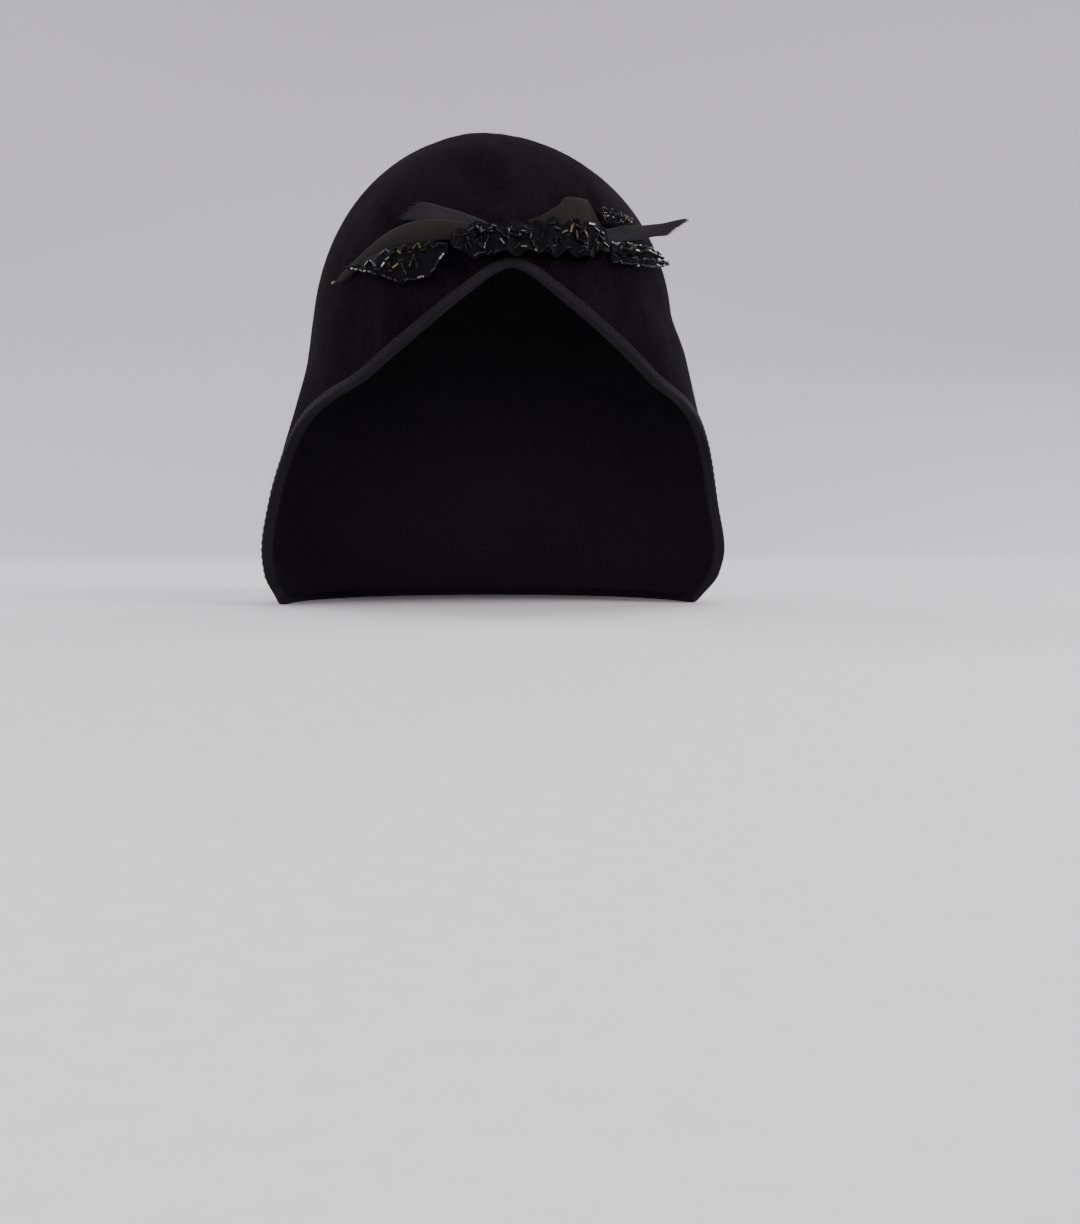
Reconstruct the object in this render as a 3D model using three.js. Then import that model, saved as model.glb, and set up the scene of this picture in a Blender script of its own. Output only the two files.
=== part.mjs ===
// Cloche hat of black velour felt: a hollow helmet crown with a peaked front, flared side lobes,
// a bound rim and a flat trim of ribbon tails and beaded leaves across the brow.
// Millimetres, +Z up. The face opening looks along -Y and +X is the wearer's left.
import * as THREE from "three";

// Felt body
const hatHeight = 194.5;
const shoulderHeight = 112;
const crownWidth = 154;
const frontReach = 94;
const backReach = 104;
const crownLean = 3.2;
const domeRoundness = 1.92;
const feltThickness = 2.5;
const peakHeight = 125.3;

// Rim binding
const bindingWidth = 3.4;
const bindingThickness = 0.8;
const bindingRound = 0.5;

// Trim
const trimRise = 15.7;
const ribbonWidth = 8.5;
const ribbonThickness = 1;
const gauzeThickness = 0.9;
const ruffleDepth = 2.6;
const ruffleFolds = 8;
const leafSwell = 0.9;
const loopBulge = 2.1;
const seatGap = 0.3;

// Mesh fineness
const halfColumns = 36;
const domeRows = 10;
const wallRows = 12;

const trimHeight = peakHeight + trimRise;
const ringHeight = trimHeight + ribbonWidth / 2;

// Plan of the hat by height. Heights are shares of hatHeight, left and right shares of half the
// crown width, front and back shares of the two reaches.
const SECTIONS = [
  { height: 0, left: 1.16, right: 1.16, front: 0.985, back: 0.965 },
  { height: 0.067, left: 1.223, right: 1.247, front: 0.985, back: 0.95 },
  { height: 0.118, left: 1.238, right: 1.27, front: 0.985, back: 0.94 },
  { height: 0.221, left: 1.202, right: 1.226, front: 0.985, back: 0.94 },
  { height: 0.324, left: 1.138, right: 1.182, front: 0.985, back: 0.96 },
  { height: 0.427, left: 1.062, right: 1.118, front: 0.985, back: 0.985 },
  { height: 0.53, left: 0.996, right: 1.053, front: 0.99, back: 1 },
  { height: 0.627, left: 0.97, right: 0.982, front: 1, back: 1 },
  { height: 0.782, left: 0.978, right: 0.985, front: 1, back: 0.995 },
  { height: 0.884, left: 0.985, right: 0.992, front: 1, back: 0.99 },
  { height: 0.97, left: 0.96, right: 0.965, front: 0.99, back: 0.98 },
  { height: 1, left: 0.93, right: 0.93, front: 0.98, back: 0.97 },
];

// The rim from the front to the nape. Azimuths are degrees from the front, heights shares of
// peakHeight, and crown is the azimuth from which the wall comes down to that point.
const RIM = [
  { azimuth: 0, height: 1, crown: 0 },
  { azimuth: 5, height: 0.982, crown: 8 },
  { azimuth: 10, height: 0.946, crown: 15 },
  { azimuth: 24, height: 0.838, crown: 31 },
  { azimuth: 36.5, height: 0.74, crown: 45 },
  { azimuth: 43, height: 0.691, crown: 52 },
  { azimuth: 57, height: 0.635, crown: 64 },
  { azimuth: 65, height: 0.594, crown: 71 },
  { azimuth: 71, height: 0.535, crown: 77 },
  { azimuth: 75.5, height: 0.447, crown: 84 },
  { azimuth: 79, height: 0.319, crown: 91 },
  { azimuth: 82, height: 0.16, crown: 99 },
  { azimuth: 86, height: 0.056, crown: 107 },
  { azimuth: 94, height: 0, crown: 116 },
  { azimuth: 180, height: 0, crown: 180 },
];

// Soft dents in the felt. Heights and reach up are shares of hatHeight, across is in degrees,
// lean tilts the dent, and depth is a share of the felt's thickness.
const DENTS = [
  { azimuth: -13, height: 0.83, across: 9, up: 0.075, lean: -0.6, depth: 0.55 },
  { azimuth: 8, height: 0.87, across: 11, up: 0.06, lean: -0.5, depth: 0.4 },
  { azimuth: 62, height: 0.6, across: 16, up: 0.045, lean: 0.2, depth: 0.4 },
  { azimuth: -70, height: 0.5, across: 14, up: 0.06, lean: 0, depth: 0.3 },
];

// The trim's pieces. Azimuths and leans are degrees, the lean shifting the lower edge. Top, bottom
// and lift are shares of the ribbon's width: the edges above the trim line, and the rise off the felt.
const RIBBON_TAIL_LEFT = [
  { azimuth: -27.9, lean: -5.5, top: 1.13, bottom: 0.43, lift: 0 },
  { azimuth: -19, lean: -1.5, top: 0.8, bottom: -0.05, lift: 0 },
  { azimuth: -10, lean: 0, top: 0.33, bottom: -0.5, lift: 0 },
  { azimuth: 0, lean: 0, top: -0.28, bottom: -0.89, lift: 0 },
];
const RIBBON_POINT_LEFT = [
  { azimuth: -57.6, lean: 0, top: -1.76, bottom: -1.88, lift: 0.02 },
  { azimuth: -54, lean: 0, top: -1.44, bottom: -1.87, lift: 0.02 },
  { azimuth: -46, lean: 0, top: -0.72, bottom: -1.38, lift: 0.01 },
  { azimuth: -36, lean: 0, top: 0.05, bottom: -0.86, lift: 0 },
  { azimuth: -27, lean: 0, top: 0.32, bottom: -0.74, lift: 0 },
  { azimuth: -18, lean: 0, top: 0.18, bottom: -0.66, lift: 0 },
  { azimuth: 2, lean: 0, top: -0.4, bottom: -1, lift: 0 },
];
const RIBBON_LOOP_RIGHT = [
  { azimuth: 5, lean: 0, top: 0.15, bottom: -0.5, lift: 0 },
  { azimuth: 13.5, lean: 0, top: 0.69, bottom: -0.46, lift: 0 },
  { azimuth: 17.5, lean: 0, top: 1.13, bottom: -0.4, lift: 0 },
  { azimuth: 25, lean: 0, top: 1.22, bottom: -0.3, lift: 0 },
  { azimuth: 28.5, lean: 0, top: 0.3, bottom: -0.2, lift: 0 },
];
const RIBBON_TAIL_RIGHT = [
  { azimuth: 20, lean: 0, top: -0.14, bottom: -0.73, lift: 0 },
  { azimuth: 34, lean: 0, top: 0.35, bottom: -0.32, lift: 0 },
  { azimuth: 44, lean: 0, top: 0.67, bottom: 0.01, lift: 0.15 },
  { azimuth: 53, lean: -1, top: 0.67, bottom: 0.19, lift: 0.9 },
  { azimuth: 60, lean: -8, top: 0.62, bottom: 0.26, lift: 1.9 },
];
const LEAF_LEFT = [
  { azimuth: -51, lean: 0, top: -1.29, bottom: -1.42, lift: 0.02 },
  { azimuth: -42, lean: 0, top: -1.06, bottom: -1.75, lift: 0 },
  { azimuth: -36, lean: 0, top: -0.86, bottom: -2.08, lift: 0 },
  { azimuth: -29.5, lean: 0, top: -0.79, bottom: -2.43, lift: 0 },
  { azimuth: -23, lean: 0, top: -0.77, bottom: -2.25, lift: 0 },
  { azimuth: -17.5, lean: 0, top: -0.68, bottom: -1.75, lift: 0 },
];
const RUFFLE = [
  { azimuth: -17, lean: 0, top: -0.35, bottom: -1.25, lift: 0 },
  { azimuth: -13, lean: 0, top: -0.12, bottom: -1.5, lift: 0 },
  { azimuth: -5, lean: 0, top: -0.16, bottom: -1.42, lift: 0.02 },
  { azimuth: 6, lean: 0, top: -0.04, bottom: -1.32, lift: 0.05 },
  { azimuth: 20, lean: 0, top: 0.15, bottom: -1.27, lift: 0.03 },
  { azimuth: 29, lean: 0, top: 0.1, bottom: -1.05, lift: 0 },
];
const LEAF_UPPER = [
  { azimuth: 29.2, lean: 0, top: 0.98, bottom: 0.38, lift: 0 },
  { azimuth: 33, lean: 0, top: 1.1, bottom: 0.42, lift: 0 },
  { azimuth: 40, lean: 0, top: 0.98, bottom: 0.66, lift: 0.03 },
  { azimuth: 45.5, lean: 0, top: 0.84, bottom: 0.76, lift: 0.06 },
];
const LEAF_MIDDLE = [
  { azimuth: 30.2, lean: 0, top: -0.46, bottom: -0.9, lift: 0 },
  { azimuth: 40, lean: 0, top: -0.3, bottom: -0.76, lift: 0.04 },
  { azimuth: 48, lean: 0, top: -0.28, bottom: -0.66, lift: 0.13 },
  { azimuth: 55, lean: 0, top: -0.5, bottom: -0.58, lift: 0.27 },
];
const LEAF_LOWER = [
  { azimuth: 30.2, lean: 0, top: -0.94, bottom: -1.26, lift: 0 },
  { azimuth: 41, lean: 0, top: -0.82, bottom: -1.18, lift: 0.05 },
  { azimuth: 52, lean: 0, top: -0.72, bottom: -0.94, lift: 0.24 },
  { azimuth: 59, lean: 0, top: -0.64, bottom: -0.72, lift: 0.42 },
];

// Reads a table's column at a value of its key column, as a smooth curve without overshoot
// that ends level.
function read(table, key, value, column) {
  const last = table.length - 1;
  if (value <= table[0][key]) return table[0][column];
  if (value >= table[last][key]) return table[last][column];
  const i = table.findIndex((row) => row[key] > value) - 1;
  const secant = (k) => (table[k + 1][column] - table[k][column]) / (table[k + 1][key] - table[k][key]);
  const slope = (k) => {
    if (k <= 0 || k >= last) return 0;
    const before = secant(k - 1);
    const after = secant(k);
    return before * after > 0 ? (2 * before * after) / (before + after) : 0;
  };
  const span = table[i + 1][key] - table[i][key];
  const t = (value - table[i][key]) / span;
  const a = table[i][column];
  const b = table[i + 1][column];
  const ease = t * t * (3 - 2 * t);
  const leave = t * (1 - t) * (1 - t) * span * slope(i);
  const arrive = t * t * (1 - t) * span * slope(i + 1);
  return a + (b - a) * ease + leave - arrive;
}

// Reads a table's column along straight lines between its rows.
function readStraight(table, key, value, column) {
  const found = table.findIndex((row) => row[key] >= value);
  const i = found < 0 ? table.length - 1 : Math.max(1, found);
  const a = table[i - 1];
  const b = table[i];
  return THREE.MathUtils.mapLinear(value, a[key], b[key], a[column], b[column]);
}

// Share of its full breadth that the crown still has at a height.
function domeShare(z) {
  const t = THREE.MathUtils.clamp((z - shoulderHeight) / (hatHeight - shoulderHeight), 0, 1);
  return (1 - t ** domeRoundness) ** (1 / domeRoundness);
}

// Sideways shift of the section at a height, as the crown's top leans.
function leanAt(z) {
  const t = Math.max(0, (z - shoulderHeight) / (hatHeight - shoulderHeight));
  return -crownLean * t ** 4;
}

function halfWidth(z, side) {
  return (crownWidth / 2) * domeShare(z) * read(SECTIONS, "height", z / hatHeight, side);
}

function reach(z, end) {
  const named = end === "front" ? frontReach : backReach;
  return named * domeShare(z) * read(SECTIONS, "height", z / hatHeight, end);
}

// How deep the dents press the felt in at a place.
function dentDepth(azimuth, z) {
  return DENTS.reduce((sum, dent) => {
    const u = (azimuth - dent.azimuth) / dent.across;
    const v = (z / hatHeight - dent.height) / dent.up - dent.lean * u;
    return sum + dent.depth * feltThickness * Math.exp(-u * u - v * v);
  }, 0);
}

// Point of the felt's outer surface. Azimuths run from -180 to 180 degrees, 0 at the front.
function surface(azimuth, z) {
  const turn = THREE.MathUtils.degToRad(azimuth);
  const sin = Math.sin(turn);
  const cos = Math.cos(turn);
  const pressed = 1 - dentDepth(azimuth, z) / frontReach;
  const x = halfWidth(z, sin < 0 ? "left" : "right") * sin * pressed;
  const y = -reach(z, cos > 0 ? "front" : "back") * cos * pressed;
  return new THREE.Vector3(leanAt(z) + x, y, z);
}

// Outward direction of the wall, level on the upright wall and square to the felt on the dome.
function outward(azimuth, z) {
  const step = 0.05;
  const across = surface(azimuth + step, z).sub(surface(azimuth - step, z));
  const up = surface(azimuth, z + step).sub(surface(azimuth, z - step));
  const out = across.cross(up).normalize();
  out.z *= THREE.MathUtils.smoothstep(z, peakHeight, ringHeight + ribbonWidth);
  return out.normalize();
}

function offset(azimuth, z, distance) {
  return surface(azimuth, z).addScaledVector(outward(azimuth, z), distance);
}

// Azimuths of the rim's columns from the front to the nape, closer where the rim bends.
function rimAzimuths() {
  const fine = 720;
  const bendReach = 22;
  const stations = [0];
  const points = [];
  for (let i = 0; i <= fine; i++) {
    const azimuth = (180 * i) / fine;
    points.push(surface(azimuth, peakHeight * read(RIM, "azimuth", azimuth, "height")));
  }
  for (let i = 1; i <= fine; i++) {
    const step = points[i].clone().sub(points[i - 1]);
    const next = points[Math.min(i + 1, fine)].clone().sub(points[Math.min(i, fine - 1)]);
    stations.push(stations[i - 1] + step.length() + bendReach * step.angleTo(next));
  }
  const azimuths = [];
  for (let column = 0; column <= halfColumns; column++) {
    const wanted = (stations[fine] * column) / halfColumns;
    const i = Math.max(1, stations.findIndex((station) => station >= wanted - 1e-9));
    const t = (wanted - stations[i - 1]) / (stations[i] - stations[i - 1]);
    azimuths.push(Math.min(180, (180 * (i - 1 + t)) / fine));
  }
  return azimuths;
}

// The rim's columns once round: front, right side, nape, left side. Each knows its place, the
// direction that leaves the felt there and the azimuth where its wall leaves the crown.
function rimColumns() {
  const right = rimAzimuths();
  const left = right.slice(1, -1).reverse().map((azimuth) => -azimuth);
  const columns = [...right, ...left].map((azimuth) => {
    const z = peakHeight * read(RIM, "azimuth", Math.abs(azimuth), "height");
    const crown = Math.sign(azimuth) * readStraight(RIM, "azimuth", Math.abs(azimuth), "crown");
    return { azimuth, z, crown, point: surface(azimuth, z) };
  });
  columns.forEach((column, i) => {
    const before = columns[(i + columns.length - 1) % columns.length].point;
    const after = columns[(i + 1) % columns.length].point;
    const along = after.clone().sub(before).normalize();
    column.away = along.cross(outward(column.azimuth, column.z)).normalize();
  });
  return columns;
}

// Place on the felt's surface that lies a distance in from the rim.
function inset(column, distance) {
  const p = column.point.clone().addScaledVector(column.away, -distance);
  const x = (p.x - leanAt(p.z)) / halfWidth(p.z, p.x < 0 ? "left" : "right");
  const y = p.y / reach(p.z, p.y < 0 ? "front" : "back");
  const azimuth = THREE.MathUtils.radToDeg(Math.atan2(x, -y));
  return { azimuth, z: p.z };
}

// Closed mesh from points and faces of three or four corners.
function solid(points, faces) {
  const index = faces.flatMap(([a, b, c, d]) => (d === undefined ? [a, b, c] : [a, b, c, a, c, d]));
  const geometry = new THREE.BufferGeometry().setFromPoints(points);
  geometry.setIndex(index);
  geometry.computeVertexNormals();
  return geometry;
}

// The felt's wall: an outer and an inner skin over the same rows, joined round the rim.
function feltGeometry(columns) {
  const rows = [];
  const ringShare = (ringHeight - shoulderHeight) / (hatHeight - shoulderHeight);
  const ringTurn = Math.acos(ringShare ** (domeRoundness / 2));
  for (let row = 1; row <= domeRows; row++) {
    const share = Math.cos((ringTurn * row) / domeRows) ** (2 / domeRoundness);
    const z = shoulderHeight + (hatHeight - shoulderHeight) * share;
    rows.push(columns.map((column) => ({ azimuth: column.crown, z })));
  }
  const ends = columns.map((column) => inset(column, bindingWidth));
  for (let row = 1; row <= wallRows; row++) {
    const t = row / wallRows;
    rows.push(
      columns.map((column, i) => ({
        azimuth: nearLerp(column.crown, ends[i].azimuth, t),
        z: THREE.MathUtils.lerp(ringHeight, ends[i].z, t),
      })),
    );
  }
  rows.push(columns.map((column) => inset(column, bindingThickness + seatGap)));
  const count = columns.length;
  const outer = rows.flat().map((place) => surface(place.azimuth, place.z));
  const inner = rows.flat().map((place) => offset(place.azimuth, place.z, -feltThickness));
  const top = new THREE.Vector3(leanAt(hatHeight), 0, hatHeight);
  const points = [...outer, ...inner, top, top.clone().setZ(hatHeight - feltThickness)];
  const under = outer.length;
  const apex = 2 * under;
  const lastRow = rows.length - 1;
  const faces = [];
  for (let i = 0; i < count; i++) {
    const j = (i + 1) % count;
    faces.push([apex, i, j]);
    faces.push([apex + 1, under + j, under + i]);
    for (let row = 0; row < lastRow; row++) {
      const a = row * count;
      const b = a + count;
      faces.push([b + i, b + j, a + j, a + i]);
      faces.push([under + a + i, under + a + j, under + b + j, under + b + i]);
    }
    const rim = lastRow * count;
    faces.push([rim + i, under + rim + i, under + rim + j, rim + j]);
  }
  return solid(points, faces);
}

// Goes from one azimuth to another without crossing the nape's turn from 180 to -180.
function nearLerp(from, to, t) {
  const gap = THREE.MathUtils.euclideanModulo(to - from + 180, 360) - 180;
  return from + gap * t;
}

// The folded band over the rim: a U section carried once round it.
function bindingGeometry(columns) {
  const outerFace = seatGap + bindingThickness;
  const innerFace = -feltThickness - outerFace;
  const section = [
    { inward: bindingWidth, out: outerFace },
    { inward: bindingRound, out: outerFace },
    { inward: 0, out: outerFace - bindingRound },
    { inward: 0, out: innerFace + bindingRound },
    { inward: bindingRound, out: innerFace },
    { inward: bindingWidth, out: innerFace },
    { inward: bindingWidth, out: innerFace + bindingThickness },
    { inward: bindingThickness, out: innerFace + bindingThickness },
    { inward: bindingThickness, out: seatGap },
    { inward: bindingWidth, out: seatGap },
  ];
  const points = columns.flatMap((column) =>
    section.map((corner) => {
      const place = inset(column, corner.inward);
      return offset(place.azimuth, place.z, corner.out);
    }),
  );
  const size = section.length;
  const faces = [];
  for (let i = 0; i < columns.length; i++) {
    const here = i * size;
    const next = ((i + 1) % columns.length) * size;
    for (let k = 0; k < size; k++) {
      const m = (k + 1) % size;
      faces.push([here + k, here + m, next + m, next + k]);
    }
  }
  return solid(points, faces);
}

// A piece of ribbon or gauze laid on the crown: a thin sheet between its upper and lower edge,
// lifted by whole layers of ribbon, by its table and by its folds.
function sheetGeometry({ table, steps, cells, thickness, layer, fold }) {
  const first = table[0].azimuth;
  const last = table[table.length - 1].azimuth;
  const base = seatGap + layer * (ribbonThickness + seatGap);
  const outer = [];
  const inner = [];
  for (let i = 0; i <= steps; i++) {
    const along = i / steps;
    const azimuth = THREE.MathUtils.lerp(first, last, along);
    const column = (name) => read(table, "azimuth", azimuth, name);
    for (let j = 0; j <= cells; j++) {
      const up = j / cells;
      const place = azimuth + column("lean") * (1 - up);
      const z = trimHeight + ribbonWidth * THREE.MathUtils.lerp(column("bottom"), column("top"), up);
      const lift = base + ribbonWidth * column("lift") + (fold ? fold(along, up) : 0);
      inner.push(offset(place, z, lift));
      outer.push(offset(place, z, lift + thickness));
    }
  }
  const wide = cells + 1;
  const under = outer.length;
  const faces = [];
  for (let i = 0; i < steps; i++) {
    for (let j = 0; j < cells; j++) {
      const a = i * wide + j;
      const b = a + wide;
      faces.push([a, b, b + 1, a + 1]);
      faces.push([under + a, under + a + 1, under + b + 1, under + b]);
    }
    for (const j of [0, cells]) {
      const a = i * wide + j;
      const b = a + wide;
      faces.push(j === 0 ? [under + a, under + b, b, a] : [a, b, under + b, under + a]);
    }
  }
  for (let j = 0; j < cells; j++) {
    const end = steps * wide + j;
    faces.push([under + j, j, j + 1, under + j + 1]);
    faces.push([end, under + end, under + end + 1, end + 1]);
  }
  return solid([...outer, ...inner], faces);
}

// Height of the gathers across the ruffle, flat at its ends.
function gathers(along, up) {
  const wave = 0.5 - 0.5 * Math.cos(2 * Math.PI * (ruffleFolds * along + 0.6 * up));
  return ruffleDepth * wave * Math.sin(Math.PI * along) ** 0.5;
}

// A leaf's gentle waves, and its crown along the middle.
function leafWaves(waves, height) {
  return (along, up) => height * Math.sin(Math.PI * up) * (0.6 + 0.4 * Math.cos(2 * Math.PI * waves * along));
}

// Rounded swell of the folded loop.
function loopSwell(along, up) {
  return loopBulge * Math.sin(Math.PI * along) * up ** 3;
}

const felt = { color: 0x131114, roughness: 0.96, metalness: 0 };
const binding = { color: 0x2a2730, roughness: 0.9, metalness: 0 };
const ribbon = { color: 0x282728, roughness: 0.8, metalness: 0 };
const tailRibbon = { color: 0x302e32, roughness: 0.75, metalness: 0 };
const beads = { color: 0x0b0a0d, roughness: 0.25, metalness: 0.1 };

function piece(name, geometry, look) {
  const mesh = new THREE.Mesh(geometry, new THREE.MeshStandardMaterial(look));
  mesh.name = name;
  return mesh;
}

const columns = rimColumns();

const TRIM = [
  {
    name: "ribbon_tail_left",
    look: tailRibbon,
    table: RIBBON_TAIL_LEFT,
    steps: 10,
    cells: 2,
    layer: 0,
  },
  {
    name: "ribbon_point_left",
    look: ribbon,
    table: RIBBON_POINT_LEFT,
    steps: 18,
    cells: 2,
    layer: 1,
  },
  {
    name: "ribbon_loop_right",
    look: tailRibbon,
    table: RIBBON_LOOP_RIGHT,
    steps: 12,
    cells: 3,
    layer: 1,
    fold: loopSwell,
  },
  {
    name: "ribbon_tail_right",
    look: tailRibbon,
    table: RIBBON_TAIL_RIGHT,
    steps: 12,
    cells: 2,
    layer: 0,
  },
  {
    name: "beaded_leaf_left",
    look: beads,
    table: LEAF_LEFT,
    steps: 14,
    cells: 4,
    layer: 2,
    fold: leafWaves(3, leafSwell),
  },
  {
    name: "beaded_ruffle",
    look: beads,
    table: RUFFLE,
    steps: 48,
    cells: 4,
    layer: 2,
    fold: gathers,
  },
  {
    name: "beaded_leaf_upper",
    look: beads,
    table: LEAF_UPPER,
    steps: 8,
    cells: 3,
    layer: 1,
    fold: leafWaves(2, leafSwell),
  },
  {
    name: "beaded_leaf_middle",
    look: beads,
    table: LEAF_MIDDLE,
    steps: 12,
    cells: 3,
    layer: 1,
    fold: leafWaves(3, leafSwell),
  },
  {
    name: "beaded_leaf_lower",
    look: beads,
    table: LEAF_LOWER,
    steps: 12,
    cells: 3,
    layer: 0,
    fold: leafWaves(3, leafSwell),
  },
];

const hat = new THREE.Group();
hat.add(piece("felt_body", feltGeometry(columns), felt));
hat.add(piece("edge_binding", bindingGeometry(columns), binding));
for (const { name, look, ...shape } of TRIM) {
  const thickness = look === beads ? gauzeThickness : ribbonThickness;
  hat.add(piece(name, sheetGeometry({ ...shape, thickness }), look));
}

// The origin lies under the middle of the hat, on the surface it stands on.
const box = new THREE.Box3().setFromObject(hat);
hat.position.set(-(box.min.x + box.max.x) / 2, -(box.min.y + box.max.y) / 2, -box.min.z);

export default hat;
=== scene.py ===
import math

import bpy
import numpy as np
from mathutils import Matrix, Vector


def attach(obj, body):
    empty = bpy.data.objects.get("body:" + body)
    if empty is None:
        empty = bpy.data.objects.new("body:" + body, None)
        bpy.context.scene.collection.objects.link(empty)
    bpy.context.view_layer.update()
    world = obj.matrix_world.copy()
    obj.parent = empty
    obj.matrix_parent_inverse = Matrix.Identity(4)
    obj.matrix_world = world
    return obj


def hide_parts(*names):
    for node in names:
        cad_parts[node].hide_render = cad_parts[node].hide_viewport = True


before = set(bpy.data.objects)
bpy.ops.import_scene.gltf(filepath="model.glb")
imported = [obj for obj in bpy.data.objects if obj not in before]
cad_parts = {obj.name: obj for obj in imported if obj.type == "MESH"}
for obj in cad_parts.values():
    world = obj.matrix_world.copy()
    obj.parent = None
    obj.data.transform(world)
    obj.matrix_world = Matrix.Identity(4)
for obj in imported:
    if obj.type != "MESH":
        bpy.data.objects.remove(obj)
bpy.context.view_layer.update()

# Camera: low in front of the face opening, a little towards the wearer's right

EYE = (-0.05222, -0.62107, 0.029)
SIGHT_LINE = (0.115, 0.993)
SIGHT_DROP = math.radians(3)
LENS = 42.82
FILM_HEIGHT = 36


def add_object(name, data):
    made = bpy.data.objects.new(name, data)
    bpy.context.scene.collection.objects.link(made)
    return made


def set_camera():
    film = bpy.data.cameras.new("photo_view")
    film.sensor_fit = "VERTICAL"
    film.sensor_height = FILM_HEIGHT
    film.lens = LENS
    film.clip_start = 0.01
    film.clip_end = 20
    camera = add_object("photo_view", film)
    level = Vector((*SIGHT_LINE, 0)).normalized() * math.cos(SIGHT_DROP)
    look = Vector((level.x, level.y, -math.sin(SIGHT_DROP)))
    camera.location = EYE
    camera.rotation_euler = look.to_track_quat("-Z", "Y").to_euler()
    bpy.context.scene.camera = camera


set_camera()

# The hat's own sizes, in millimetres and degrees

MM = 0.001
FRAME_SHIFT = np.array((-1.223, -2.977, 0.0))
HAT_HEIGHT = 194.5
SHOULDER_HEIGHT = 112
CROWN_WIDTH = 154
FRONT_REACH = 94
BACK_REACH = 104
CROWN_LEAN = 3.2
DOME_ROUNDNESS = 1.92
FELT_THICKNESS = 2.5
PEAK_HEIGHT = 125.3
BINDING_WIDTH = 3.4
BINDING_THICKNESS = 0.8
BINDING_ROUND = 1.25
TRIM_RISE = 15.7
RIBBON_WIDTH = 8.5
LAYER_STEP = 1.3
SEAT_GAP = 0.3
RIBBON_THICKNESS = 0.7
GAUZE_THICKNESS = 0.35
TRIM_HEIGHT = PEAK_HEIGHT + TRIM_RISE
RING_HEIGHT = TRIM_HEIGHT + RIBBON_WIDTH / 2


def table(names, *rows):
    """A small table of given numbers, kept by column."""
    return dict(zip(names.split(), np.array(rows, float).T))


# Plan of the hat by height: shares of the hat's height, half width and two reaches.
SECTIONS = table(
    "height left right front back",
    (0, 1.16, 1.16, 0.985, 0.965),
    (0.067, 1.223, 1.247, 0.985, 0.95),
    (0.118, 1.238, 1.27, 0.985, 0.94),
    (0.221, 1.202, 1.226, 0.985, 0.94),
    (0.324, 1.138, 1.182, 0.985, 0.96),
    (0.427, 1.062, 1.118, 0.985, 0.985),
    (0.53, 0.996, 1.053, 0.99, 1),
    (0.627, 0.97, 0.982, 1, 1),
    (0.782, 0.978, 0.985, 1, 0.995),
    (0.884, 0.985, 0.992, 1, 0.99),
    (0.97, 0.96, 0.965, 0.99, 0.98),
    (1, 0.93, 0.93, 0.98, 0.97),
)

# The rim from the front to the nape: its height as a share of the peak's, and the azimuth on
# the crown from which the wall comes down to it.
RIM = table(
    "azimuth height crown",
    (0, 1, 0),
    (5, 0.982, 8),
    (10, 0.946, 15),
    (24, 0.838, 31),
    (36.5, 0.74, 45),
    (43, 0.691, 52),
    (57, 0.635, 64),
    (65, 0.594, 71),
    (71, 0.535, 77),
    (75.5, 0.447, 84),
    (79, 0.319, 91),
    (82, 0.16, 99),
    (86, 0.056, 107),
    (94, 0, 116),
    (180, 0, 180),
)

# Soft dents of the felt: height and reach up are shares of the hat's height, depth of its felt.
DENTS = table(
    "azimuth height across up lean depth",
    (-13, 0.83, 9, 0.075, -0.6, 0.55),
    (8, 0.87, 11, 0.06, -0.5, 0.4),
    (62, 0.6, 16, 0.045, 0.2, 0.4),
    (-70, 0.5, 14, 0.06, 0, 0.3),
)


def trim_rows(*rows):
    """A trim piece's table: top, bottom and lift are shares of the ribbon's width."""
    return table("azimuth lean top bottom lift", *rows)


TAIL_LEFT = trim_rows(
    (-27.9, -5.5, 1.13, 0.43, 0),
    (-19, -1.5, 0.8, -0.05, 0),
    (-10, 0, 0.33, -0.5, 0),
    (0, 0, -0.28, -0.89, 0),
)
POINT_LEFT = trim_rows(
    (-57.6, 0, -1.76, -1.88, 0.02),
    (-54, 0, -1.44, -1.87, 0.02),
    (-46, 0, -0.72, -1.38, 0.01),
    (-36, 0, 0.05, -0.86, 0),
    (-27, 0, 0.32, -0.74, 0),
    (-18, 0, 0.18, -0.66, 0),
    (2, 0, -0.4, -1, 0),
)
LOOP_RIGHT = trim_rows(
    (5, 0, 0.15, -0.5, 0),
    (13.5, 0, 0.69, -0.46, 0),
    (17.5, 0, 1.13, -0.4, 0),
    (25, 0, 1.22, -0.3, 0),
    (28.5, 0, 0.3, -0.2, 0),
)
TAIL_RIGHT = trim_rows(
    (20, 0, -0.14, -0.73, 0),
    (34, 0, 0.35, -0.32, 0),
    (44, 0, 0.67, 0.01, 0.15),
    (53, -1, 0.67, 0.19, 0.9),
    (60, 0, 0.68, 0.12, 1.9),
)
LEAF_LEFT = trim_rows(
    (-51, 0, -1.29, -1.42, 0.02),
    (-42, 0, -1.06, -1.75, 0),
    (-36, 0, -0.86, -2.08, 0),
    (-29.5, 0, -0.79, -2.43, 0),
    (-23, 0, -0.77, -2.25, 0),
    (-17.5, 0, -0.68, -1.75, 0),
)
RUFFLE = trim_rows(
    (-17, 0, -0.35, -1.25, 0),
    (-13, 0, -0.12, -1.5, 0),
    (-5, 0, -0.16, -1.42, 0.02),
    (6, 0, -0.04, -1.32, 0.05),
    (20, 0, 0.15, -1.27, 0.03),
    (29, 0, 0.1, -1.05, 0),
)
LEAF_UPPER = trim_rows(
    (29.2, 0, 0.98, 0.38, 0),
    (33, 0, 1.1, 0.42, 0),
    (40, 0, 0.98, 0.66, 0.03),
    (45.5, 0, 0.84, 0.76, 0.06),
)
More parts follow.
